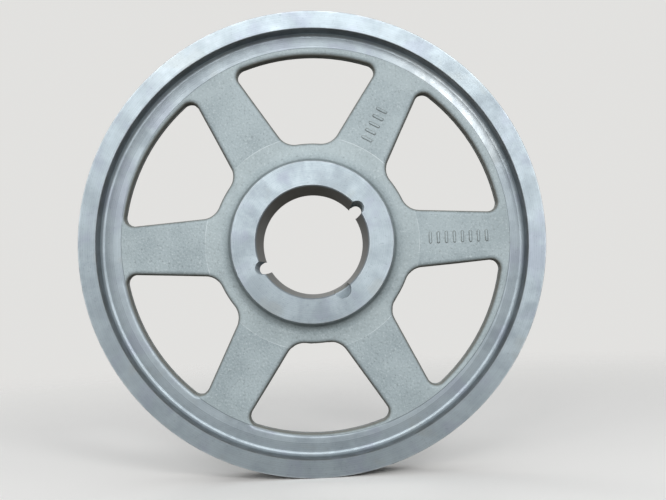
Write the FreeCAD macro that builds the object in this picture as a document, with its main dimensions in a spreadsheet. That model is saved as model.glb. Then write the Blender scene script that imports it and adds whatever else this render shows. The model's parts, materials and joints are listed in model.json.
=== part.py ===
import FreeCAD, Part
import os

import Sketcher

# A six-arm V-belt pulley, cast in one piece in grey iron and bored for a split taper bush.
#
# Millimetres. The pulley's axis is Y, and the side that the bush goes in from faces -Y. The origin
# is on the axis, halfway across the rim, and arm_1 lies along +X. Seen from the front, +X is to the
# right, +Z is up, and the arms are numbered anticlockwise.
#
# The casting is divided where its own form changes, and the divisions meet face to face: the hub
# with its bore, the ring of web around it, six arms, the ring of web outside them, the rim, and the
# walls between the grooves.
# It is machined on the rim's and the hub's end faces, in the grooves and in the bore.

GROOVES = 3
ARMS = 6

# Screw half-holes around the bore, as degrees from arm_1. A screw in either tapped one draws the
# bush in, and a screw in the bush jacks it out against the floor of the plain one.
TAPPED_HOLES = {"tapped_hole_1": 35, "tapped_hole_2": 205}
PLAIN_HOLE = -60

# Raised foundry marks: the arm that each group is on, and how many bars it has.
MARKS = {"cast_mark_1": (1, 8), "cast_mark_2": (2, 5)}

DIMENSIONS = {
    # rim
    "outside_diameter": 355.6,
    "groove_spacing": 10.32,      # from one groove's centre to the next
    "groove_edge": 8.73,          # from an end groove's centre to the rim's end face
    "groove_width": 8.89,         # across the top
    "groove_depth": 8.9,
    "groove_angle": 42,           # between the two flanks, degrees
    "rim_wall": 13.7,             # radial width of the rim's machined end face
    "rim_lean": 0.6,              # how far the rim's inner wall leans inwards over its depth
    # channel, turned where the web meets the rim
    "channel_width": 10.6,
    "channel_drop": 1.2,          # how much deeper than the web its outer side is
    "channel_fillet": 3.2,
    # web, arms and windows
    "web_thickness": 14,
    "arm_root_width": 45.4,       # at the windows' inner ends
    "arm_tip_width": 36.2,        # at their outer ends
    "window_hub_gap": 15.3,       # from the hub's face to a window
    "window_rim_gap": 17.6,       # from the rim's face to a window
    "window_root_fillet": 15,
    "window_tip_fillet": 7,
    "window_edge_fillet": 3.5,    # the cast rounding of a window's edges
    # hub
    "hub_length": 44.45,
    "hub_wall": 19.34,            # radial width of the hub's face, beside the bore
    "hub_lean": 1.8,              # how far the hub's flank leans out, from its face to the web
    "hub_skirt": 8.4,             # from the hub's face to where the hub's foot ends
    "hub_fillet": 7,
    "hub_web_width": 20.8,        # from the hub's face to where the arms begin
    "hub_web_rise": 0.8,          # how far each side of the web sweeps up to the hub's foot
    # taper bore
    "bore_diameter": 85.725,      # at its large end
    "bore_taper": 4,              # each side, degrees
    "bore_chamfer": 0.9,
    "tapped_hole_diameter": 10.8,
    "plain_hole_diameter": 13.5,
    "plain_hole_depth": 28,
    # finish
    "edge_break": 0.5,
    "tip_break": 0.25,            # on the sharp tips of the groove walls
    # foundry marks
    "mark_height": 0.8,
    "mark_across": 9,
    "mark_width": 2.2,
    "mark_pitch": 6.2,
    "mark_start": 7,              # from the arm's root to the first bar
}

doc = FreeCAD.newDocument("v_belt_pulley")

dims = doc.addObject("Spreadsheet::Sheet", "Dims")
for row, (alias, value) in enumerate(DIMENSIONS.items(), start=1):
    dims.set(f"A{row}", alias)
    dims.set(f"B{row}", str(value))
    dims.setAlias(f"B{row}", alias)
doc.recompute()

# Places that several pieces share, as expressions of the sheet.
OUTSIDE_RADIUS = "Dims.outside_diameter / 2"
GROOVE_FLOOR = f"({OUTSIDE_RADIUS} - Dims.groove_depth)"
RIM_BACK = f"(Dims.groove_edge + Dims.groove_spacing * {GROOVES - 1} / 2)"
RIM_FRONT = f"(-{RIM_BACK})"
RIM_FACE_INSIDE = f"({OUTSIDE_RADIUS} - Dims.rim_wall)"
RIM_WALL_ROOT = f"({RIM_FACE_INSIDE} - Dims.rim_lean)"
RIM_FOOT = f"({RIM_WALL_ROOT} - Dims.channel_fillet)"
CHANNEL_INSIDE = f"({RIM_FACE_INSIDE} - Dims.channel_width)"
WINDOW_OUTSIDE = f"({RIM_FACE_INSIDE} - Dims.window_rim_gap)"
ARM_END = f"({WINDOW_OUTSIDE} - 1.25 * Dims.window_tip_fillet)"
HUB_RADIUS = "(Dims.bore_diameter / 2 + Dims.hub_wall)"
HUB_FOOT = f"({HUB_RADIUS} + Dims.hub_skirt)"
HUB_BACK = f"({RIM_FRONT} + Dims.hub_length)"
WINDOW_INSIDE = f"({HUB_RADIUS} + Dims.window_hub_gap)"
ARM_ROOT = f"({HUB_RADIUS} + Dims.hub_web_width)"
WEB_FACE = "(Dims.web_thickness / 2)"
HUB_WEB_FACE = f"({WEB_FACE} + Dims.hub_web_rise)"
SWEEP_WIDTH = f"({ARM_ROOT} - {HUB_FOOT})"
SWEEP_RADIUS = f"(({SWEEP_WIDTH}^2 + Dims.hub_web_rise^2) / (2 * Dims.hub_web_rise))"
CHANNEL_FLOOR = f"({WEB_FACE} - Dims.channel_drop)"
BORE_RADIUS = "(Dims.bore_diameter / 2)"
GROOVE_FLOOR_HALF = "(Dims.groove_width / 2 - Dims.groove_depth * tan(Dims.groove_angle / 2))"

# Turns a shape made along Z to lie along +Y.
ALONG_Y = FreeCAD.Rotation(FreeCAD.Vector(1, 0, 0), -90)


def number(expression):
    """The value of an expression of the sheet."""
    value = dims.evalExpression(expression)
    return float(getattr(value, "Value", value))


def new_body(name):
    body = doc.addObject("PartDesign::Body", name)
    body.Label = name
    return body


def origin_feature(body, role):
    return next(f for f in body.Origin.OriginFeatures if f.Role == role)


def new_sketch(body, name, role):
    sketch = body.newObject("Sketcher::SketchObject", name)
    sketch.AttachmentSupport = [(origin_feature(body, role), "")]
    sketch.MapMode = "FlatFace"
    return sketch


def place_point(sketch, geometry, end, across, up):
    """Holds one end of a sketch line at a place given by two expressions."""
    for kind, expression in (("DistanceX", across), ("DistanceY", up)):
        held = sketch.addConstraint(
            Sketcher.Constraint(kind, -1, 1, geometry, end, number(expression))
        )
        sketch.setExpression(f"Constraints[{held}]", expression)


def add_outline(sketch, corners, hollows):
    """A closed outline through corners that are each given by two expressions.

    Its sides are straight, except those that hollows names by their first corner and gives a
    radius. Their arcs have their centres to the left of the way the outline runs.
    """
    places = [FreeCAD.Vector(number(a), number(u), 0) for a, u in corners]
    sides = []
    for index, (start, end) in enumerate(zip(places, places[1:] + places[:1])):
        if index in hollows:
            chord = end - start
            left = FreeCAD.Vector(-chord.y, chord.x, 0).normalize()
            to_centre = (number(hollows[index]) ** 2 - (chord.Length / 2) ** 2) ** 0.5
            side = add_arc(sketch, (start + end) / 2 + left * to_centre, start, end)
            hold_radius(sketch, side, hollows[index])
        else:
            side = sketch.addGeometry(Part.LineSegment(start, end))
        sides.append(side)
    for side, following in zip(sides, sides[1:] + sides[:1]):
        sketch.addConstraint(Sketcher.Constraint("Coincident", side, 2, following, 1))
    for side, (across, up) in zip(sides, corners):
        place_point(sketch, side, 1, across, up)


def add_arc(sketch, centre, start, end):
    """An arc that runs anticlockwise about its centre."""
    circle = Part.Circle(centre, FreeCAD.Vector(0, 0, 1), (start - centre).Length)
    arc = Part.ArcOfCircle(circle, circle.parameter(start), circle.parameter(end))
    return sketch.addGeometry(arc)


def hold_radius(sketch, geometry, radius):
    held = sketch.addConstraint(Sketcher.Constraint("Radius", geometry, number(radius)))
    sketch.setExpression(f"Constraints[{held}]", radius)


def revolve(body, name, corners, hollows={}):
    """Turns a section, given as (place along the axis, radius), about the pulley's axis."""
    sketch = new_sketch(body, f"{name}_section", "YZ_Plane")
    add_outline(sketch, corners, hollows)
    turned = body.newObject("PartDesign::Revolution", name)
    turned.Profile = sketch
    turned.ReferenceAxis = (sketch, ["H_Axis"])
    turned.Angle = 360
    doc.recompute()
    return turned


def dress(body, kind, name, size, wanted):
    """Fillets or chamfers the body's edges that the function wanted picks."""
    base = body.Tip
    names = [f"Edge{i}" for i, e in enumerate(base.Shape.Edges, start=1) if wanted(e)]
    if not names:
        raise RuntimeError(f"{name}: no edge to work on")
    feature = body.newObject(f"PartDesign::{kind}", name)
    feature.Base = (base, names)
    feature.setExpression("Radius" if kind == "Fillet" else "Size", size)
    doc.recompute()
    if not feature.isValid():
        raise RuntimeError(f"{name} failed on {len(names)} edges")
    return feature


def circles_at(*places):
    """Picks the circles about the pulley's axis at (place along the axis, radius) expressions."""
    wanted = [(number(along), number(radius)) for along, radius in places]

    def picks(edge):
        curve = edge.Curve
        if not isinstance(curve, Part.Circle) or abs(curve.Axis.y) < 0.999:
            return False
        return any(
            abs(curve.Center.y - along) < 1e-4 and abs(curve.Radius - radius) < 1e-4
            for along, radius in wanted
        )

    return picks


def middle_radius(edge):
    """How far an edge's middle is from the pulley's axis."""
    middle = edge.valueAt((edge.FirstParameter + edge.LastParameter) / 2)
    return (middle.x**2 + middle.z**2) ** 0.5


def runs_along_axis(edge):
    return isinstance(edge.Curve, Part.Line) and abs(edge.Curve.Direction.y) > 0.999


def cut(body, name, sketch, both_ways=False, depth=None):
    """Pockets a sketch through the body, or to a depth from the sketch's plane."""
    before = body.Shape.Volume
    pocket = body.newObject("PartDesign::Pocket", name)
    pocket.Profile = sketch
    if depth is None:
        pocket.Type = "ThroughAll"
        pocket.SideType = "Symmetric" if both_ways else "One side"
    else:
        pocket.Type = "Length"
        pocket.setExpression("Length", depth)
    doc.recompute()
    if body.Shape.Volume > before - 1:
        raise RuntimeError(f"{name} cuts nothing")
    return pocket


# ---- hub: the boss with the taper bore and the screw half-holes


def make_hub():
    hub = new_body("hub")
    bore_back = f"({BORE_RADIUS} - Dims.hub_length * tan(Dims.bore_taper))"
    flank_root = f"({HUB_RADIUS} + Dims.hub_lean)"
    foot_slope = f"tan(asin({SWEEP_WIDTH} / {SWEEP_RADIUS}))"
    flank_foot = f"({HUB_WEB_FACE} + ({HUB_FOOT} - {flank_root}) * {foot_slope})"
    revolve(hub, "hub_blank", [
        (RIM_FRONT, BORE_RADIUS),
        (RIM_FRONT, HUB_RADIUS),
        (f"-{flank_foot}", flank_root),
        (f"-{HUB_WEB_FACE}", HUB_FOOT),
        (HUB_WEB_FACE, HUB_FOOT),
        (flank_foot, flank_root),
        (HUB_BACK, HUB_RADIUS),
        (HUB_BACK, bore_back),
    ])
    flank_roots = circles_at((f"-{flank_foot}", flank_root), (flank_foot, flank_root))
    dress(hub, "Fillet", "hub_foot_fillet", "Dims.hub_fillet", flank_roots)
    mouths = circles_at((RIM_FRONT, BORE_RADIUS), (HUB_BACK, bore_back))
    dress(hub, "Chamfer", "bore_mouths", "Dims.bore_chamfer", mouths)
    rims = circles_at((RIM_FRONT, HUB_RADIUS), (HUB_BACK, HUB_RADIUS))
    dress(hub, "Chamfer", "hub_edges", "Dims.edge_break", rims)
    for name, degrees in TAPPED_HOLES.items():
        sketch = half_hole_sketch(hub, name, degrees, "Dims.tapped_hole_diameter")
        cut(hub, name, sketch, both_ways=True)
    sketch = half_hole_sketch(hub, "plain_hole", PLAIN_HOLE, "Dims.plain_hole_diameter")
    sketch.setExpression("AttachmentOffset.Base.z", f"-{RIM_FRONT}")
    cut(hub, "plain_hole", sketch, depth="Dims.plain_hole_depth")
    return hub


def half_hole_sketch(body, name, degrees, diameter):
    """A circle on the bore's large end, in a plane across the axis."""
    sketch = new_sketch(body, f"{name}_sketch", "XZ_Plane")
    across = f"{BORE_RADIUS} * cos({degrees})"
    up = f"{BORE_RADIUS} * sin({degrees})"
    centre = FreeCAD.Vector(number(across), number(up), 0)
    circle = Part.Circle(centre, FreeCAD.Vector(0, 0, 1), number(diameter) / 2)
    hole = sketch.addGeometry(circle)
    place_point(sketch, hole, 3, across, up)
    size = sketch.addConstraint(Sketcher.Constraint("Diameter", hole, number(diameter)))
    sketch.setExpression(f"Constraints[{size}]", diameter)
    return sketch


# ---- web: everything between the hub's foot and the groove floor, before it is divided


def make_web():
    web = new_body("web")
    half = [
        (HUB_WEB_FACE, HUB_FOOT),
        (WEB_FACE, ARM_ROOT),
        (WEB_FACE, CHANNEL_INSIDE),
        (CHANNEL_FLOOR, RIM_WALL_ROOT),
        (RIM_BACK, RIM_FACE_INSIDE),
        (RIM_BACK, GROOVE_FLOOR),
    ]
    front = [(f"-{along}", radius) for along, radius in half]
    sweeps = {0: SWEEP_RADIUS, 2 * len(half) - 2: SWEEP_RADIUS}
    revolve(web, "web_blank", front + half[::-1], sweeps)
    roots = circles_at((CHANNEL_FLOOR, RIM_WALL_ROOT), (f"-{CHANNEL_FLOOR}", RIM_WALL_ROOT))
    dress(web, "Fillet", "channel_fillet", "Dims.channel_fillet", roots)
    faces = circles_at((RIM_FRONT, RIM_FACE_INSIDE), (RIM_BACK, RIM_FACE_INSIDE))
    dress(web, "Chamfer", "rim_face_edges", "Dims.edge_break", faces)

    window = cut(web, "window", window_sketch(web), both_ways=True)
    windows = web.newObject("PartDesign::PolarPattern", "windows")
    windows.Originals = [window]
    windows.Axis = (origin_feature(web, "Y_Axis"), [""])
    windows.Angle = 360
    windows.Occurrences = ARMS
    web.Tip = windows
    doc.recompute()

    inside, outside = number(WINDOW_INSIDE), number(WINDOW_OUTSIDE)

    arm_roots = circles_at((f"-{WEB_FACE}", ARM_ROOT), (WEB_FACE, ARM_ROOT))

    def on_window(edge):
        if runs_along_axis(edge) or arm_roots(edge):
            return False
        return inside - 0.01 < middle_radius(edge) < outside + 0.01

    dress(web, "Fillet", "window_edge_fillets", "Dims.window_edge_fillet", on_window)
    return web


def window_sketch(body):
    """The window above the hub: two arcs about the axis, the flanks of two arms, and corner arcs."""
    sketch = new_sketch(body, "window_outline", "XZ_Plane")
    axis = FreeCAD.Vector(0, 0, 0)
    inside, outside = number(WINDOW_INSIDE), number(WINDOW_OUTSIDE)

    def corner(radius, width, side):
        """Where an arm's flank would meet a window's arc, as two expressions."""
        turn = f"({180 / ARMS} deg - asin({width} / 2 / {radius}))"
        return f"{side} * {radius} * sin({turn})", f"{radius} * cos({turn})"

    flanks, corners, touches = {}, {}, {}
    for side in (1, -1):
        root, tip = (
            corner(WINDOW_INSIDE, "Dims.arm_root_width", side),
            corner(WINDOW_OUTSIDE, "Dims.arm_tip_width", side),
        )
        ends = [FreeCAD.Vector(number(across), number(up), 0) for across, up in (root, tip)]
        guide = sketch.addGeometry(Part.LineSegment(*ends), True)
        place_point(sketch, guide, 1, *root)
        place_point(sketch, guide, 2, *tip)
        along = (ends[1] - ends[0]).normalize()
        inwards = FreeCAD.Vector(-side * along.y, side * along.x, 0)

        met = {}
        for end, arc_radius, fillet, reach in (
            ("root", inside, "Dims.window_root_fillet", 1),
            ("tip", outside, "Dims.window_tip_fillet", -1),
        ):
            size = number(fillet)
            off_axis = inwards.dot(ends[0]) + size
            from_axis = arc_radius + reach * size
            centre = inwards * off_axis + along * (from_axis**2 - off_axis**2) ** 0.5
            on_flank = centre - inwards * size
            on_arc = centre * (arc_radius / from_axis)
            turns_onto_arc = (side == 1) == (end == "tip")
            start, stop = (on_flank, on_arc) if turns_onto_arc else (on_arc, on_flank)
            rounded = add_arc(sketch, centre, start, stop)
            hold_radius(sketch, rounded, fillet)
            corners[side, end] = (rounded, 1 if turns_onto_arc else 2)
            touches[side, end] = on_arc
            met[end] = on_flank

        flank = sketch.addGeometry(Part.LineSegment(met["root"], met["tip"]))
        sketch.addConstraint(Sketcher.Constraint("Tangent", guide, flank))
        for end, flank_end in (("root", 1), ("tip", 2)):
            rounded, rounded_end = corners[side, end]
            joint = ("Tangent", rounded, rounded_end, flank, flank_end)
            sketch.addConstraint(Sketcher.Constraint(*joint))

    for end, radius in (("root", WINDOW_INSIDE), ("tip", WINDOW_OUTSIDE)):
        arc = add_arc(sketch, axis, touches[1, end], touches[-1, end])
        sketch.addConstraint(Sketcher.Constraint("Coincident", arc, 3, -1, 1))
        hold_radius(sketch, arc, radius)
        for side, arc_end in ((1, 1), (-1, 2)):
            rounded, rounded_end = corners[side, end]
            joint = ("Tangent", rounded, 3 - rounded_end, arc, arc_end)
            sketch.addConstraint(Sketcher.Constraint(*joint))
    return sketch


# ---- dividing the web into its two rings, its arms and the rim


def cylinder(name, radius, turn=0, sweep=360):
    """A cylinder about the pulley's axis, wider than the casting, or a sector of one."""
    tool = doc.addObject("Part::Cylinder", name)
    reach = number("Dims.hub_length")
    place = FreeCAD.Vector(0, -reach, 0)
    spin = FreeCAD.Rotation(FreeCAD.Vector(0, 1, 0), -turn)
    tool.Placement = FreeCAD.Placement(place, spin * ALONG_Y)
    tool.setExpression("Radius", radius)
    tool.setExpression("Height", "2 * Dims.hub_length")
    tool.Angle = sweep
    return tool


def combine(kind, name, base, tool):
    joined = doc.addObject(f"Part::{kind}", name)
    joined.Label = name
    joined.Base = base
    joined.Tool = tool
    return joined


def divide_web(web):
    inner = cylinder("inner_division", ARM_ROOT)
    outer = cylinder("outer_division", ARM_END)
    rim_foot = cylinder("rim_division", RIM_FOOT)
    pieces = [
        combine("Common", "hub_web", web, inner),
        combine("Common", "outer_web", web, combine("Cut", "outer_region", rim_foot, outer)),
        combine("Cut", "rim", web, rim_foot),
    ]
    sweep = 360 / ARMS
    for arm in range(ARMS):
        sector = cylinder(f"sector_{arm + 1}", ARM_END, turn=(arm + 0.5) * sweep, sweep=sweep)
        region = combine("Cut", f"arm_region_{arm + 1}", sector, inner)
        pieces.append(combine("Common", f"arm_{arm + 1}", web, region))
    return pieces


# ---- walls between and beside the grooves


def make_groove_walls():
    """The rim's walls, from front to back, each a ring that stands on the groove floor."""
    walls = []
    for index in range(GROOVES + 1):
        name = f"groove_wall_{index + 1}"
        front = [(RIM_FRONT, GROOVE_FLOOR), (RIM_FRONT, OUTSIDE_RADIUS)]
        back = [(RIM_BACK, OUTSIDE_RADIUS), (RIM_BACK, GROOVE_FLOOR)]
        if index > 0:
            centre = f"({RIM_FRONT} + Dims.groove_edge + {index - 1} * Dims.groove_spacing)"
            front = [
                (f"{centre} + {GROOVE_FLOOR_HALF}", GROOVE_FLOOR),
                (f"{centre} + Dims.groove_width / 2", OUTSIDE_RADIUS),
            ]
        if index < GROOVES:
            centre = f"({RIM_FRONT} + Dims.groove_edge + {index} * Dims.groove_spacing)"
            back = [
                (f"{centre} - Dims.groove_width / 2", OUTSIDE_RADIUS),
                (f"{centre} - {GROOVE_FLOOR_HALF}", GROOVE_FLOOR),
            ]
        wall = new_body(name)
        revolve(wall, f"{name}_ring", front + back)
        tips = circles_at(front[1], back[0])
        dress(wall, "Chamfer", f"{name}_tips", "Dims.tip_break", tips)
        walls.append(wall)
    return walls


# ---- foundry marks


def make_marks():
    """Rows of plain raised bars on the front of two arms."""
    groups = []
    for name, (arm, bars) in MARKS.items():
        turn = FreeCAD.Rotation(FreeCAD.Vector(0, 1, 0), -(arm - 1) * 360 / ARMS)
        group = []
        for bar in range(bars):
            block = doc.addObject("Part::Box", f"{name}_bar_{bar + 1}")
            block.setExpression("Length", "Dims.mark_width")
            block.setExpression("Width", "Dims.mark_height")
            block.setExpression("Height", "Dims.mark_across")
            radius = number(f"{ARM_ROOT} + Dims.mark_start + {bar} * Dims.mark_pitch")
            front = number(f"-{WEB_FACE} - Dims.mark_height")
            corner = FreeCAD.Vector(radius, front, -number("Dims.mark_across") / 2)
            block.Placement = FreeCAD.Placement(turn.multVec(corner), turn)
            group.append(block)
        marks = doc.addObject("Part::Compound", name)
        marks.Label = name
        marks.Links = group
        groups.append(marks)
    return groups


# ---- build, check and write

hub = make_hub()
web = make_web()
pieces = [hub] + divide_web(web) + make_groove_walls() + make_marks()
doc.recompute()

for thing in doc.Objects:
    if {"Invalid", "Error"} & set(thing.State):
        raise RuntimeError(f"{thing.Label} failed: {thing.State}")
for piece in pieces:
    if piece.Shape.isNull() or not piece.Shape.isValid() or not piece.Shape.Solids:
        raise RuntimeError(f"{piece.Label} has no sound shape")

os.makedirs("parts", exist_ok=True)
for piece in pieces:
    piece.Shape.exportStep(f"parts/{piece.Label}.step")
    print(f"{piece.Label}: {len(piece.Shape.Solids)} solids, {piece.Shape.Volume / 1000:.1f} cm3")
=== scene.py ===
# %% [markdown]
# A six-arm V-belt pulley of grey iron, bored for a split taper bush.
#
# The real thing is one casting, machined on its end faces, in its grooves, in the turned channel
# beside the rim and in the bore. Everything else keeps the sandy skin of the mould. The solids come
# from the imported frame, in metres, with the pulley's axis along Y and its front towards -Y. What is
# left to do here is the finish of the iron, the raised foundry marks and the screw threads.

# %% Clear the scene and load the frame
import json
import math

import bmesh
import bpy
from mathutils import Matrix, Vector
from mathutils.noise import noise as noise_at

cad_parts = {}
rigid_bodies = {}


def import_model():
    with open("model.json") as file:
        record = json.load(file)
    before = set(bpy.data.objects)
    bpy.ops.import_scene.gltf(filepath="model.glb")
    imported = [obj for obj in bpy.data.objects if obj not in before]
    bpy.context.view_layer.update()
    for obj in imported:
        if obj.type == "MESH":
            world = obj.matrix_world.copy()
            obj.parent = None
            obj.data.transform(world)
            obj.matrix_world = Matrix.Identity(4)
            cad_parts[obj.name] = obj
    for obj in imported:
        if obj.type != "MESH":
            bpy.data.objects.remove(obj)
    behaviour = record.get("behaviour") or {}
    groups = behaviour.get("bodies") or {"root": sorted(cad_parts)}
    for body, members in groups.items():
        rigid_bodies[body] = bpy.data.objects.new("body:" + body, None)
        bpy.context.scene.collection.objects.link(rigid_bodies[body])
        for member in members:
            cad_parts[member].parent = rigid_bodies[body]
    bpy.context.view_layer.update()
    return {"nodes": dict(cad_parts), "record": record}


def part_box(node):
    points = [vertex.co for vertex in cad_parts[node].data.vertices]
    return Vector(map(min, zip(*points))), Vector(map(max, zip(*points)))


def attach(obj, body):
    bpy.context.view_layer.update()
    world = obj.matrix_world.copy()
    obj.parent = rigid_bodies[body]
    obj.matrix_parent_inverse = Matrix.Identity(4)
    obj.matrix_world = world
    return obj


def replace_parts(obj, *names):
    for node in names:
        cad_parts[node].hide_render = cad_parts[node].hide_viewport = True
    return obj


for thing in list(bpy.data.objects):
    bpy.data.objects.remove(thing)
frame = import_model()
nodes = frame["nodes"]
mounts = {mount["name"]: mount for mount in frame["record"]["mounts"]}
print("nodes:", ", ".join(nodes))

# %% [markdown]
# Some sizes are needed again and again, because the finishes change at them: the end faces, the
# bore's mouth, the circles where the casting's pieces meet. All are read from the frame, so they
# follow it if it changes.

# %% Read the sizes that the finishes depend on
MM = 0.001
HOLE_MARGIN = 0.0003


def reach(node):
    """How far a node reaches from the pulley's axis."""
    return max(math.hypot(v.co.x, v.co.z) for v in nodes[node].data.vertices)


def clearance(node):
    """How near a node comes to the pulley's axis."""
    return min(math.hypot(v.co.x, v.co.z) for v in nodes[node].data.vertices)


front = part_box("rim")[0].y
hub_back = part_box("hub")[1].y
outside_radius = reach("groove_wall_1")
hub_foot = reach("hub")
bore_radius = mounts["taper_bore"]["dims"]["r_mm"] * MM
bore_back_radius = clearance("hub")
hole_reach = mounts["plain_half_hole"]["dims"]["r_mm"] * MM + HOLE_MARGIN
arm_root, arm_end = clearance("arm_1"), reach("arm_1")
web_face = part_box("arm_1")[0].y
print(f"rim {outside_radius * 2 / MM:.1f} mm across, front face at {front / MM:.2f} mm")

# %% [markdown]
# The pulley is looked at almost along its axis, from 0.7 m, a little below the middle and turned
# two and a half degrees about the axis, so the arms don't sit quite square in the view.

# %% Camera
camera_roll = math.radians(2.5)
camera = bpy.data.objects.new("camera", bpy.data.cameras.new("camera"))
bpy.context.scene.collection.objects.link(camera)
camera.data.sensor_width = 36
camera.data.lens = 50.3
camera.data.clip_start = 0.01
camera.location = (0.0105, -0.7242, -0.0384)
looks_along = Vector((0.0070, 0.9990, 0.0447)).normalized()
up = Vector((math.sin(camera_roll), 0, math.cos(camera_roll)))
across = looks_along.cross(up).normalized()
up = across.cross(looks_along)
camera.rotation_euler = Matrix((across, up, -looks_along)).transposed().to_euler()
bpy.context.scene.camera = camera
bpy.context.scene.view_settings.view_transform = "Standard"
print("camera at", tuple(round(value, 4) for value in camera.location))

# %% [markdown]
# A shader tree is easier to read when each node is made in one line with what goes into it. A
# socket that is linked and a socket that is just set look alike this way.

# %% A short way to add shader nodes


def add(tree, kind, inputs=None, **settings):
    """A shader node, with its inputs set to values or linked from sockets."""
    made = tree.nodes.new(f"ShaderNode{kind}")
    for name, value in settings.items():
        setattr(made, name, value)
    for key, value in (inputs or {}).items():
        if isinstance(value, bpy.types.NodeSocket):
            tree.links.new(value, made.inputs[key])
        else:
            made.inputs[key].default_value = value
    return made


def maths(tree, operation, *values):
    """The result of a Math node."""
    return add(tree, "Math", dict(enumerate(values)), operation=operation).outputs[0]


def ramp(tree, value, low, high, to_low=0.0, to_high=1.0):
    """value, eased from to_low at low to to_high at high."""
    inputs = {"Value": value, "From Min": low, "From Max": high, "To Min": to_low, "To Max": to_high}
    made = add(tree, "MapRange", inputs, interpolation_type="SMOOTHSTEP")
    return made.outputs["Result"]


def mix(tree, share, first, second, blend="MIX"):
    """Two colours mixed."""
    made = add(tree, "Mix", {"Factor": share}, data_type="RGBA", blend_type=blend)
    for socket, value in ((made.inputs[6], first), (made.inputs[7], second)):
        if isinstance(value, bpy.types.NodeSocket):
            tree.links.new(value, socket)
        else:
            socket.default_value = value
    return made.outputs[2]


def noise(tree, place, scale, detail, roughness=0.5, flat=False):
    """A noise's value, over a place in space or, when flat, over one number."""
    key, dimensions = ("W", "1D") if flat else ("Vector", "3D")
    inputs = {key: place, "Scale": scale, "Detail": detail, "Roughness": roughness}
    return add(tree, "TexNoise", inputs, noise_dimensions=dimensions).outputs["Fac"]


def here(tree):
    """The place that is being shaded, in metres from the pulley's middle."""
    return add(tree, "TexCoord").outputs["Object"]


def new_group(name, inputs, outputs):
    """A shader node group with float inputs and the outputs given as (name, socket type)."""
    group = bpy.data.node_groups.new(name, "ShaderNodeTree")
    for label, value in inputs.items():
        socket = group.interface.new_socket(label, in_out="INPUT", socket_type="NodeSocketFloat")
        socket.default_value = value
    for label, kind in outputs.items():
        group.interface.new_socket(label, in_out="OUTPUT", socket_type=f"NodeSocket{kind}")
    return group, group.nodes.new("NodeGroupInput").outputs, group.nodes.new("NodeGroupOutput").inputs


def place_group(tree, group, **inputs):
    """A group placed in a material with its own values."""
    made = tree.nodes.new("ShaderNodeGroup")
    made.node_tree = group
    for label, value in inputs.items():
        key = label.replace("_", " ")
        if isinstance(value, bpy.types.NodeSocket):
            tree.links.new(value, made.inputs[key])
        else:
            made.inputs[key].default_value = value
    return made.outputs


# %% [markdown]
# Everything on a pulley is laid out about its axis, so the shaders need polar places: how far a
# point is from the axis, which way round it lies and how far along. One group gives all three.

# %% Node group: polar place
polar, _, out = new_group("polar place", {}, {"Radius": "Float", "Turn": "Float", "Along": "Float"})
parts = add(polar, "SeparateXYZ", {0: here(polar)}).outputs
squares = maths(polar, "ADD", maths(polar, "POWER", parts["X"], 2.0), maths(polar, "POWER", parts["Z"], 2.0))
polar.links.new(maths(polar, "SQRT", squares), out["Radius"])
polar.links.new(maths(polar, "ARCTAN2", parts["Z"], parts["X"]), out["Turn"])
polar.links.new(parts["Y"], out["Along"])
print("group:", polar.name)

# %% [markdown]
# Turned iron. A lathe tool leaves fine rings, and the iron between them stains unevenly while the
# part lies about, in soft clouds a centimetre or two wide with a bluer or browner cast. The rings
# are a noise that depends on the radius alone. The clouds reach a little further along the radius
# than around it, because a rag or a tray wipes them across the rings.

# %% Node group: turned iron
DARK_CLOUD, LIGHT_CLOUD = (0.270, 0.320, 0.355, 1), (0.375, 0.438, 0.475, 1)
DRIFT_TONE = (0.36, 0.42, 0.455, 1)
BLUE_STAIN, BROWN_STAIN = (0.285, 0.315, 0.385, 1), (0.315, 0.345, 0.345, 1)
TOOL_RING, SPECK = (0.17, 0.20, 0.225, 1), (0.16, 0.18, 0.195, 1)
turned, given, out = new_group(
    "turned iron",
    {"Ring Width": 0.0006, "Cloud Size": 0.015, "Stain": 0.5},
    {"Color": "Color", "Roughness": "Float", "Height": "Float"},
)
at, place = place_group(turned, polar), here(turned)
ring_place = maths(turned, "DIVIDE", at["Radius"], given["Ring Width"])
rings = noise(turned, ring_place, 1.0, 2.0, flat=True)
spread = maths(turned, "MULTIPLY_ADD", at["Radius"], 0.8, 0.02)
cloud_place = add(turned, "CombineXYZ", {
    0: maths(turned, "MULTIPLY", maths(turned, "COSINE", at["Turn"]), spread),
    1: maths(turned, "MULTIPLY", maths(turned, "SINE", at["Turn"]), spread),
    2: at["Along"],
}).outputs[0]
cloud_scale = maths(turned, "DIVIDE", 1.0, given["Cloud Size"])
clouds = noise(turned, cloud_place, cloud_scale, 5.0, 0.6)
drifts = noise(turned, place, 17.0, 2.0)
tints = noise(turned, place, 38.0, 3.0)
base = mix(turned, ramp(turned, clouds, 0.30, 0.70), DARK_CLOUD, LIGHT_CLOUD)
base = mix(turned, ramp(turned, drifts, 0.36, 0.64, 0.0, 0.5), base, DRIFT_TONE)
bluer = maths(turned, "MULTIPLY", ramp(turned, tints, 0.52, 0.66), given["Stain"])
browner = maths(turned, "MULTIPLY", ramp(turned, tints, 0.42, 0.30), given["Stain"])
base = mix(turned, bluer, base, BLUE_STAIN)
base = mix(turned, browner, base, BROWN_STAIN)
base = mix(turned, ramp(turned, rings, 0.56, 0.40, 0.0, 0.22), base, TOOL_RING)
specks = noise(turned, place, 700.0, 2.0)
base = mix(turned, ramp(turned, specks, 0.60, 0.76, 0.0, 0.35), base, SPECK)
turned.links.new(base, out["Color"])
wear_and_highlight = maths(turned, "MULTIPLY_ADD", clouds, -0.20, 0.52)
turned.links.new(maths(turned, "MULTIPLY_ADD", rings, 0.08, wear_and_highlight), out["Roughness"])
turned.links.new(rings, out["Height"])
print("group:", turned.name)

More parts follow.
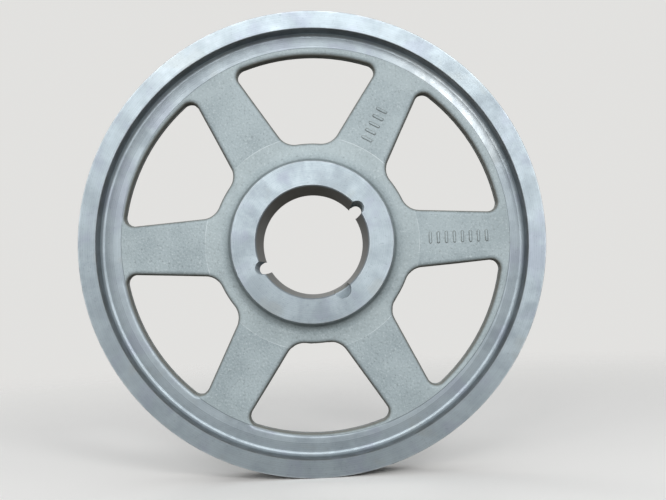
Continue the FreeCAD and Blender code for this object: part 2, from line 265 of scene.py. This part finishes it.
# %% [markdown]
# Cast iron as it leaves the sand. The skin copies the grains of the mould, which are up to about a
# millimetre wide here, so it is matt, with pale and dark grains, shallow pits and a slow drift of
# tone over each arm.

# %% Node group: cast skin
DARK_SKIN, LIGHT_SKIN = (0.290, 0.350, 0.372, 1), (0.352, 0.418, 0.440, 1)
PALE_GRAIN, DARK_GRAIN = (0.52, 0.58, 0.60, 1), (0.160, 0.183, 0.186, 1)
skin, given, out = new_group(
    "cast skin",
    {"Grain Size": 0.0017, "Contrast": 1.8},
    {"Color": "Color", "Roughness": "Float", "Height": "Float"},
)
place = here(skin)
grain_scale = maths(skin, "DIVIDE", 1.0, given["Grain Size"])
grains = noise(skin, place, grain_scale, 3.0, 0.65)
drift = noise(skin, place, 32.0, 3.0, 0.55)
base = mix(skin, ramp(skin, drift, 0.34, 0.66), DARK_SKIN, LIGHT_SKIN)
pale = maths(skin, "MULTIPLY", ramp(skin, grains, 0.52, 0.74), given["Contrast"])
dark = maths(skin, "MULTIPLY", ramp(skin, grains, 0.46, 0.26), given["Contrast"])
base = mix(skin, maths(skin, "MULTIPLY", pale, 0.35), base, PALE_GRAIN)
base = mix(skin, maths(skin, "MULTIPLY", dark, 0.38), base, DARK_GRAIN)
skin.links.new(base, out["Color"])
skin.links.new(maths(skin, "MULTIPLY_ADD", grains, 0.2, 0.50), out["Roughness"])
pits = add(skin, "TexVoronoi", {"Vector": place, "Scale": maths(skin, "MULTIPLY", grain_scale, 0.4)})
pit_depth = ramp(skin, pits.outputs["Distance"], 0.05, 0.35)
lumps = maths(skin, "MULTIPLY_ADD", drift, 1.6, grains)
skin.links.new(maths(skin, "MULTIPLY_ADD", pit_depth, 0.35, lumps), out["Height"])
print("group:", skin.name)

# %% [markdown]
# Some painted light follows a circle: painted shade along the foot of the rim's wall and round the hub,
# and a painted highlight, the bright line along an edge. A ring mask is strong at one radius, fades
# to both sides and is broken up by noise. The windows' walls, which get painted shade, are found by
# their normals, which lie across the axis.

# %% Node group: ring mask
ring, given, out = new_group(
    "ring mask", {"Radius": 0.1, "Width": 0.004, "Amount": 1.0, "Broken": 0.5}, {"Mask": "Float"}
)
at, place = place_group(ring, polar), here(ring)
off = maths(ring, "ABSOLUTE", maths(ring, "SUBTRACT", at["Radius"], given["Radius"]))
near = ramp(ring, maths(ring, "DIVIDE", off, given["Width"]), 0.0, 1.0, 1.0, 0.0)
gaps = ramp(ring, noise(ring, place, 90.0, 4.0), 0.62, 0.34)
kept = maths(ring, "SUBTRACT", 1.0, maths(ring, "MULTIPLY", gaps, given["Broken"]))
mask = maths(ring, "MULTIPLY", maths(ring, "MULTIPLY", near, kept), given["Amount"])
ring.links.new(mask, out["Mask"])
print("group:", ring.name)

# %% Node group: walls, the faces that look across the axis
# Where this mask is strong, the casting's colour is darkened as painted shade on the windows' walls and
# fillets.
walls, given, out = new_group("walls", {"Start": 0.97, "End": 0.45}, {"Mask": "Float"})
normal = add(walls, "TexCoord").outputs["Normal"]
facing = maths(walls, "ABSOLUTE", add(walls, "SeparateXYZ", {0: normal}).outputs["Y"])
walls.links.new(ramp(walls, facing, given["Start"], given["End"]), out["Mask"])
print("group:", walls.name)

# %% [markdown]
# Bright patches on the turned iron, lighter and cleaner with flaky edges. They are painted highlights,
# where a lamp's fan of light falls; the one on the channel also stands for iron that a sling or a
# shelf has scuffed clean. A patch is given by its middle and reach around the axis and by the two
# radii it lies between, and shows on the front half only.

# %% Node group: painted highlight patch, partly scuffed iron
patch, given, out = new_group(
    "scuff and highlight patch",
    {"Middle": 0.7, "Reach": 0.4, "Inside": 0.148, "Outside": 0.160, "Amount": 0.8},
    {"Mask": "Float"},
)
at, place = place_group(patch, polar), here(patch)
aside = maths(patch, "ABSOLUTE", maths(patch, "SUBTRACT", at["Turn"], given["Middle"]))
around = ramp(patch, maths(patch, "DIVIDE", aside, given["Reach"]), 0.35, 1.0, 1.0, 0.0)
past_inside = maths(patch, "SUBTRACT", at["Radius"], given["Inside"])
short_of_outside = maths(patch, "SUBTRACT", given["Outside"], at["Radius"])
from_inside, from_outside = (ramp(patch, gap, 0.0, 0.002) for gap in (past_inside, short_of_outside))
band = maths(patch, "MULTIPLY", from_inside, from_outside)
flakes = ramp(patch, noise(patch, place, 110.0, 5.0, 0.7), 0.36, 0.66, 0.40, 1.0)
on_front = maths(patch, "LESS_THAN", at["Along"], 0.0)
area = maths(patch, "MULTIPLY", maths(patch, "MULTIPLY", around, band), on_front)
mask = maths(patch, "MULTIPLY", area, flakes)
patch.links.new(maths(patch, "MULTIPLY", mask, given["Amount"]), out["Mask"])
print("group:", patch.name)

# %% [markdown]
# The hub, the rim and the web all carry both finishes, so one function makes their materials. Each
# says where it is turned, as a mask worked out from the polar place, and gets its own stains and its
# own painted light: painted shade in creases and on the windows' walls, painted highlights along
# edges and in patches.
#
# Turned iron is anisotropic: the rings spread the light across themselves, so a lamp shows as a fan
# that points at it from the axis, not as a round spot. The tangent runs around the axis for that.

# %% Material maker
PALE_SKIN = (0.50, 0.57, 0.58, 1)
# Painted highlight along the edges.
EDGE_HIGHLIGHT = (0.78, 0.84, 0.87, 1)
# Painted highlight in bright patches, on the channel also scuffed iron.
SCUFF_AND_HIGHLIGHT = (0.64, 0.70, 0.73, 1)
# Painted shade in the creases at the foot of a wall.
CREASE_SHADE = (0.030, 0.032, 0.030, 1)
# Painted shade on the windows' walls and fillets.
WALL_SHADE = (0.150, 0.146, 0.122, 1)
BORE_STAIN = (0.165, 0.155, 0.132, 1)
SAND_DEPTH, RING_DEPTH = 0.00024, 0.000025
MOUTH_DEPTH, BORE_SKIN = 0.0012, 0.0002


def iron(
    name, where_turned, crease_shade=(), wear_and_highlight=(), scuffs_and_highlights=(), wall_shade=0.0, bore_stain=0.0, brighten=0.0,
    lathe=0.0, metal=0.45,
):
    """Iron that is turned where where_turned(tree, polar place) gives 1 and sandy elsewhere.

    The rings are (radius, width, amount): the dark rings are painted shade in the creases at the foot
    of a wall, the bright rings painted highlights along the edges. The patches are (middle and reach
    in degrees, inner radius, outer radius, amount), painted highlights, on the channel also scuffed
    iron. The wall shade is painted shade on the windows' walls. brighten lifts the sandy skin's tone,
    lathe is how anisotropic the shine is and metal how much more metallic than the skin the turned
    faces are.
    """
    material = bpy.data.materials.new(name)
    material.use_nodes = True
    tree = material.node_tree
    shader = tree.nodes["Principled BSDF"]
    at = place_group(tree, polar)
    turned_here = where_turned(tree, at)
    smooth = place_group(tree, turned)
    sandy = place_group(tree, skin)
    lifted = mix(tree, brighten, sandy["Color"], PALE_SKIN)
    color = mix(tree, turned_here, lifted, smooth["Color"])
    metallic = maths(tree, "MULTIPLY_ADD", turned_here, metal, 0.10)
    # Bright lines along the edges: painted highlights where an edge catches the light.
    for radius, width, amount in wear_and_highlight:
        bright = place_group(tree, ring, Radius=radius, Width=width, Amount=amount, Broken=0.85)["Mask"]
        color = mix(tree, bright, color, EDGE_HIGHLIGHT)
    # Bright patches: painted highlights, on the channel also iron scuffed clean.
    for middle_turn, reach_around, inside, outside, amount in scuffs_and_highlights:
        bright = place_group(
            tree, patch, Middle=math.radians(middle_turn), Reach=math.radians(reach_around),
            Inside=inside, Outside=outside, Amount=amount,
        )["Mask"]
        color = mix(tree, bright, color, SCUFF_AND_HIGHLIGHT)
    # Near-black rings: painted shade in the creases at the foot of a wall, where shadow falls.
    for radius, width, amount in crease_shade:
        mask = place_group(tree, ring, Radius=radius, Width=width, Amount=amount, Broken=0.25)["Mask"]
        color = mix(tree, mask, color, CREASE_SHADE)
        metallic = maths(tree, "MULTIPLY", metallic, maths(tree, "SUBTRACT", 1.0, mask))
    # Painted shade on the windows' walls and their fillets.
    if wall_shade:
        wall = maths(tree, "MULTIPLY", place_group(tree, walls)["Mask"], wall_shade)
        color = mix(tree, wall, color, WALL_SHADE)
    if bore_stain:
        inside = maths(tree, "LESS_THAN", at["Radius"], bore_radius + BORE_SKIN)
        behind_mouth = maths(tree, "GREATER_THAN", at["Along"], front + MOUTH_DEPTH)
        stain = maths(tree, "MULTIPLY", maths(tree, "MULTIPLY", inside, behind_mouth), bore_stain)
        color = mix(tree, stain, color, BORE_STAIN)
        metallic = maths(tree, "MULTIPLY", metallic, maths(tree, "SUBTRACT", 1.0, stain))
    rough_step = maths(tree, "SUBTRACT", smooth["Roughness"], sandy["Roughness"])
    roughness = maths(tree, "MULTIPLY_ADD", turned_here, rough_step, sandy["Roughness"])
    sand = maths(tree, "SUBTRACT", 1.0, turned_here)
    sand_depth = maths(tree, "MULTIPLY", sandy["Height"], maths(tree, "MULTIPLY", sand, SAND_DEPTH))
    ring_depth = maths(tree, "MULTIPLY", smooth["Height"], maths(tree, "MULTIPLY", turned_here, RING_DEPTH))
    height = maths(tree, "ADD", sand_depth, ring_depth)
    bump = add(tree, "Bump", {"Height": height, "Strength": 1.0, "Distance": 1.0})
    for socket, value in (
        ("Base Color", color), ("Roughness", roughness), ("Metallic", metallic),
        ("Normal", bump.outputs["Normal"]),
    ):
        tree.links.new(value, shader.inputs[socket])
    if lathe:
        shader.inputs["Anisotropic"].default_value = lathe
        around = add(tree, "Tangent", direction_type="RADIAL", axis="Y")
        tree.links.new(around.outputs[0], shader.inputs["Tangent"])
    return material


# %% [markdown]
# Where the lathe went. The rim was turned from its outside to the inside of the channel. There the
# tool ran out on the web, and because a casting is never quite true, the edge of the cut wanders by
# a few millimetres as it goes round.

# %% Materials of the casting
channel_edge, channel_wander = 0.1500, 0.0032
face_cut = 0.0007
rim_inner_edge, rim_wall_foot = 0.1645, 0.1640
hub_face_edge, hub_wall_foot = 0.0618, 0.0640
# A patch of painted highlight on the channel, partly iron scuffed clean.
channel_scuff_and_highlight = (43, 28, 0.1520, 0.1632, 1.0)


def nowhere(tree, at):
    """A mask for iron that isn't turned at all."""
    return maths(tree, "MULTIPLY", at["Radius"], 0.0)


def everywhere(tree, at):
    """A mask for iron that is turned all over."""
    return maths(tree, "ADD", nowhere(tree, at), 1.0)


def rim_turned(tree, at):
    """A mask for the rim and the channel, up to the wandering edge of the cut."""
    around = maths(tree, "COSINE", maths(tree, "SUBTRACT", at["Turn"], math.radians(35)))
    edge = maths(tree, "MULTIPLY_ADD", around, channel_wander, channel_edge)
    past = maths(tree, "SUBTRACT", at["Radius"], edge)
    return ramp(tree, past, -0.0002, 0.0003)


def hub_turned(tree, at):
    """A mask for the hub's bore and both its end faces."""
    bore = maths(tree, "LESS_THAN", at["Radius"], bore_radius + hole_reach)
    on_front = maths(tree, "LESS_THAN", at["Along"], front + face_cut)
    on_back = maths(tree, "GREATER_THAN", at["Along"], hub_back - face_cut)
    return maths(tree, "MAXIMUM", bore, maths(tree, "MAXIMUM", on_front, on_back))


# The arms get painted shade on their windows' walls and fillets.
arm_iron = iron("cast iron, sandy", nowhere, wall_shade=0.85)
# Around the hub: painted shade on the windows' walls, and a painted highlight along the arm roots.
hub_web_iron = iron(
    "cast iron, around the hub", nowhere, wall_shade=0.85, brighten=0.20,
    wear_and_highlight=[(arm_root - 0.0002, 0.0006, 0.45)],
)
# The web's channel gets a patch of painted highlight, partly scuffed iron, and painted shade on its windows'
# walls.
outer_web_iron = iron(
    "cast iron, web and channel", rim_turned, wall_shade=0.85, brighten=0.08, lathe=0.3, metal=0.2,
    scuffs_and_highlights=[channel_scuff_and_highlight],
)
# The rim gets painted highlights in patches on the channel and face and along its edges, and painted shade
# at the foot of its wall.
rim_iron = iron(
    "cast iron, turned rim", rim_turned, lathe=0.6,
    scuffs_and_highlights=[channel_scuff_and_highlight, (122, 16, 0.1650, 0.1780, 0.25)],
    crease_shade=[(rim_wall_foot, 0.0012, 0.9)],
    wear_and_highlight=[(outside_radius - 0.0004, 0.0006, 0.5), (rim_inner_edge, 0.0004, 0.4)],
)
# The hub gets painted shade round the foot of its wall and painted highlights on the edges of its face and
# bore.
hub_iron = iron(
    "cast iron, bored hub", hub_turned, lathe=0.5, brighten=0.10, bore_stain=0.85,
    crease_shade=[(hub_wall_foot, 0.0018, 0.5)],
    wear_and_highlight=[(hub_face_edge, 0.0005, 0.5), (bore_radius + 0.0009, 0.0005, 0.4)],
)
thread_iron = iron("cast iron, cut threads", everywhere)
finishes = {"hub": hub_iron, "hub_web": hub_web_iron, "rim": rim_iron, "outer_web": outer_web_iron}
for name, node in nodes.items():
    finish = rim_iron if name.startswith("groove_wall") else finishes.get(name, arm_iron)
    for slot in node.material_slots:
        slot.material = finish
print("materials:", ", ".join(material.name for material in bpy.data.materials))

# %% [markdown]
# The foundry marks. On the real pulley two arms carry raised letters, a rating cast from the
# pattern. They are left out here, and plain bars stand in their place. Cast marks have no sharp
# edges, because sand doesn't hold them and the pattern needs draft, so each bar gets a flared foot,
# a domed top and an outline that wavers a little. The frame's square bars give size and place.

# %% Cast marks
FLARE = [(-0.30, -0.20), (-0.12, 0.06), (0.10, 0.40), (0.35, 0.66), (0.65, 0.78), (0.85, 0.80)]
BAR_STEPS, WAVER_SHARE, WAVER_LENGTH = 40, 0.10, 0.003
WELD = 1e-6


def islands(mesh):
    """The separate bodies of a mesh, each as a list of its points."""
    shape = bmesh.new()
    shape.from_mesh(mesh)
    bmesh.ops.remove_doubles(shape, verts=shape.verts, dist=WELD)
    waiting, found = set(shape.verts), []
    while waiting:
        frontier, body = [waiting.pop()], []
        while frontier:
            vertex = frontier.pop()
            body.append(vertex.co.copy())
            near = {link.other_vert(vertex) for link in vertex.link_edges} & waiting
            waiting -= near
            frontier.extend(near)
        found.append(body)
    shape.free()
    return found


def soft_bar(shape, middle, along, across, half_length, half_width):
    """A raised bar with round ends and a domed top, added to shape on the web's front face.

    FLARE gives its side from foot to top, as (inset, rise) in millimetres.
    """
    rows = []
    for inset, rise in FLARE:
        row = []
        for step in range(BAR_STEPS):
            turn = 2 * math.pi * (step + 0.5) / BAR_STEPS
            end = math.copysign(half_length - half_width, math.cos(turn))
            waver = WAVER_SHARE * noise_at((middle + along * end) / WAVER_LENGTH + Vector((0, 0, turn)))
            width = (half_width - inset * MM) * (1 + waver)
            spot = middle + along * (end + width * math.cos(turn)) + across * width * math.sin(turn)
            row.append(shape.verts.new((spot.x, web_face - rise * MM, spot.z)))
        rows.append(row)
    for lower, upper in zip(rows, rows[1:]):
        for step in range(BAR_STEPS):
            after = (step + 1) % BAR_STEPS
            shape.faces.new((lower[step], lower[after], upper[after], upper[step]))
    shape.faces.new(rows[-1])
    shape.faces.new(rows[0][::-1])


def new_piece(name, shape, material):
    """A smooth-shaded piece of the pulley made from a bmesh."""
    bmesh.ops.recalc_face_normals(shape, faces=shape.faces)
    mesh = bpy.data.meshes.new(name)
    shape.to_mesh(mesh)
    shape.free()
    mesh.shade_smooth()
    mesh.materials.append(material)
    piece = bpy.data.objects.new(name, mesh)
    bpy.context.scene.collection.objects.link(piece)
    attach(piece, "root")
    return piece


for mark in (name for name in nodes if name.startswith("cast_mark")):
    shape = bmesh.new()
    bodies = islands(nodes[mark].data)
    everything = [point for body in bodies for point in body]
    heading = sum(everything, Vector()) * Vector((1, 0, 1))
    outwards = heading.normalized()
    across_arm = Vector((-outwards.z, 0, outwards.x))
    for body in bodies:
        middle = sum(body, Vector()) / len(body)
        middle.y = 0
        half_length = max(abs((point - middle).dot(across_arm)) for point in body)
        half_width = max(abs((point - middle).dot(outwards)) for point in body)
        soft_bar(shape, middle, across_arm, outwards, half_length, half_width)
    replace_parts(new_piece(f"{mark}_soft", shape, arm_iron), mark)
    print(mark, "has", len(bodies), "bars")

# %% [markdown]
# The threads. Two of the half holes in the bore's mouth are tapped. The matching halves in the
# bush are plain, so a screw put in there bites in the hub only and drives the bush into the taper.
# A tap leaves ridges that climb by one pitch a turn. Only the part of each turn that lies in the
# hub exists, and that part grows towards the back, where the taper leaves more iron.

# %% Threads of the tapped half holes
PITCH, THREAD_DEPTH, THREAD_ROOT, STEPS = 0.0018, 0.0008, 0.0001, 36
FIRST_TURN, TURNS_LEFT_OUT = 1.4, 2
BORE_GAP, RUNOUT_SLOPE = 0.0006, 5


def cut_thread(name, hole):
    """The ridges on the part of a hole's wall that lies in the hub."""
    from_axis = Vector((hole["pos_m"][0], 0, hole["pos_m"][2]))
    radius = hole["dims"]["r_mm"] * MM
    outward = from_axis.normalized()
    sideways = Vector((-outward.z, 0, outward.x))
    profile = ((-0.45, THREAD_ROOT), (-0.08, -THREAD_DEPTH), (0.08, -THREAD_DEPTH), (0.45, THREAD_ROOT))
    shape = bmesh.new()
    for turn in range(int((hub_back - front) / PITCH) - TURNS_LEFT_OUT):
        start = front + (turn + FIRST_TURN) * PITCH
        bore_here = bore_radius + (bore_back_radius - bore_radius) * (start - front) / (hub_back - front)
        apart = (bore_here + BORE_GAP) ** 2 - from_axis.length ** 2 - radius ** 2
        half_sweep = math.acos(apart / (2 * from_axis.length * radius))
        sections = []
        for step in range(STEPS + 1):
            sweep = half_sweep * (2 * step / STEPS - 1)
            ray = outward * math.cos(sweep) + sideways * math.sin(sweep)
            runout = min(1.0, RUNOUT_SLOPE * (1 - abs(2 * step / STEPS - 1)))
            section = []
            for share, rise in profile:
                spot = from_axis + ray * (radius + (rise * runout if rise < 0 else rise))
                spot.y = start + PITCH * (share + sweep / (2 * math.pi))
                section.append(shape.verts.new(spot))
            sections.append(section)
        for first, second in zip(sections, sections[1:]):
            for i in range(4):
                shape.faces.new((first[i], second[i], second[(i + 1) % 4], first[(i + 1) % 4]))
        shape.faces.new(sections[0])
        shape.faces.new(sections[-1][::-1])
    return new_piece(name, shape, thread_iron)


for count in (1, 2):
    made = cut_thread(f"threads_{count}", mounts[f"tapped_half_hole_{count}"])
    made.data.set_sharp_from_angle(angle=math.radians(35))
    print(made.name, "has", len(made.data.polygons), "faces")

# %% [markdown]
# The parting line. The two halves of the mould meet at the middle of the web, and a little iron
# runs into the gap. Most of it is ground off, which leaves a low ragged seam around each window's
# wall. The seam follows the edges that a cut through the middle of each web piece makes on its
# walls. The edges on the circles where the pieces of the casting meet are inside the iron and get
# none.

# %% Parting line on the windows' walls
SEAM_HALF, SEAM_RISE, SEAM_ROOT = 0.00035, 0.00045, 0.0001
INNER_CIRCLES = (arm_root, arm_end, hub_foot, reach("outer_web"))
ON_CIRCLE = 0.00003
RAGGED_LENGTH, FINE_LENGTH = 0.004, 0.0011
SEAM_DRIFT, DRIFT_LENGTH = 0.00012, 0.009


def seam(name):
    """The parting line on the window walls of one web piece."""
    cut = bmesh.new()
    cut.from_mesh(nodes[name].data)
    bmesh.ops.remove_doubles(cut, verts=cut.verts, dist=WELD)
    cut.normal_update()
    everything = list(cut.verts) + list(cut.edges) + list(cut.faces)
    sliced = bmesh.ops.bisect_plane(cut, geom=everything, plane_co=(0, 0, 0), plane_no=(0, 1, 0))
    edges = [part for part in sliced["geom_cut"] if isinstance(part, bmesh.types.BMEdge)]
    shape, sections = bmesh.new(), {}
    for edge in edges:
        radii = [math.hypot(end.co.x, end.co.z) for end in edge.verts]
        if any(all(abs(r - inner) < ON_CIRCLE for r in radii) for inner in INNER_CIRCLES):
            continue
        wall = edge.link_faces[0].normal
        out = Vector((wall.x, 0, wall.z)).normalized()
        ends = []
        for end in edge.verts:
            spot = Vector((end.co.x, 0, end.co.z))
            rough = noise_at(spot / RAGGED_LENGTH) + 0.4 * noise_at(spot / FINE_LENGTH)
            ragged = 0.55 + 0.9 * max(0.0, rough)
            drift = Vector((0, SEAM_DRIFT * noise_at(spot / DRIFT_LENGTH), 0))
            key = end.index, round(out.x, 1), round(out.z, 1)
            if key not in sections:
                side = Vector((0, SEAM_HALF, 0))
                crest = out * SEAM_RISE * min(1.4, ragged)
                root = out * SEAM_ROOT
                rows = (spot - side - root, spot + drift + crest, spot + side - root)
                sections[key] = [shape.verts.new(row) for row in rows]
            ends.append(sections[key])
        first, second = ends
        for i in range(3):
            shape.faces.new((first[i], second[i], second[(i + 1) % 3], first[(i + 1) % 3]))
    cut.free()
    return new_piece(f"seam_{name}", shape, nodes[name].material_slots[0].material)


for name in ("hub_web", "outer_web", *(name for name in nodes if name.startswith("arm_"))):
    made = seam(name)
    print(made.name, "has", len(made.data.polygons), "faces")

# %% [markdown]
# The studio: a pale floor under the rim that melts into a pale surround, with soft boxes above and
# in front, as workshop lamps would be. Only the camera sees the floor and the surround as pale as
# they look. To the pulley they are darker, so that its faces shade off towards the bottom.

# %% Floor and surround
FLOOR_RADIUS = 6
floor_mesh = bpy.data.meshes.new("floor")
shape = bmesh.new()
bmesh.ops.create_circle(shape, cap_ends=True, segments=96, radius=FLOOR_RADIUS)
shape.to_mesh(floor_mesh)
shape.free()
floor = bpy.data.objects.new("floor", floor_mesh)
bpy.context.scene.collection.objects.link(floor)
floor.location = (0, 0, -outside_radius)

floor_material = bpy.data.materials.new("pale floor")
floor_material.use_nodes = True
tree = floor_material.node_tree
shader = tree.nodes["Principled BSDF"]
seen = add(tree, "LightPath").outputs["Is Camera Ray"]
tree.links.new(mix(tree, seen, (0.14, 0.13, 0.115, 1), (0.90, 0.89, 0.87, 1)), shader.inputs["Base Color"])
shader.inputs["Roughness"].default_value = 0.9
shader.inputs["Specular IOR Level"].default_value = 0.1
floor_place = add(tree, "TexCoord").outputs["Object"]
from_middle = add(tree, "VectorMath", {0: floor_place}, operation="LENGTH").outputs["Value"]
fade = ramp(tree, from_middle, 0.30, 1.3)
clear = add(tree, "BsdfTransparent")
blended = add(tree, "MixShader", {0: fade, 1: shader.outputs[0], 2: clear.outputs[0]})
tree.links.new(blended.outputs[0], tree.nodes["Material Output"].inputs["Surface"])
floor_mesh.materials.append(floor_material)

world = bpy.data.worlds.new("surround")
bpy.context.scene.world = world
world.use_nodes = True
tree = world.node_tree
seen = add(tree, "LightPath").outputs["Is Camera Ray"]
looks = add(tree, "SeparateXYZ", {0: add(tree, "TexCoord").outputs["Generated"]}).outputs["Z"]
felt = mix(tree, ramp(tree, looks, -0.4, 0.6), (0.08, 0.075, 0.07, 1), (0.50, 0.51, 0.52, 1))
surround = tree.nodes["Background"]
tree.links.new(mix(tree, seen, felt, (0.76, 0.755, 0.74, 1)), surround.inputs["Color"])
print(f"floor {floor.location.z / MM:.1f} mm below the axis, in the {world.name}")

# %% Lights


def softbox(name, place, aim, width, height, power):
    """A soft rectangular light at place, turned towards aim."""
    lamp = bpy.data.lights.new(name, "AREA")
    lamp.shape = "RECTANGLE"
    lamp.size, lamp.size_y = width, height
    lamp.energy = power
    made = bpy.data.objects.new(name, lamp)
    bpy.context.scene.collection.objects.link(made)
    made.location = place
    made.rotation_euler = (Vector(aim) - Vector(place)).to_track_quat("-Z", "Y").to_euler()


pulley_middle = (0, 0, 0)
softbox("key", (-0.1, -1.6, 0.95), pulley_middle, 1.5, 0.6, 7)
softbox("upper_right", (0.62, -1.45, 0.62), pulley_middle, 0.4, 0.4, 8)
softbox("upper_left", (-0.30, -1.55, 0.50), pulley_middle, 0.3, 0.3, 4)
softbox("front", (0.2, -2.2, 0.35), pulley_middle, 1.4, 0.7, 9)
softbox("left", (-1.3, -1.5, 0.25), pulley_middle, 0.8, 0.6, 5)
softbox("behind", (-0.7, 1.6, 1.2), pulley_middle, 1.0, 0.6, 6)
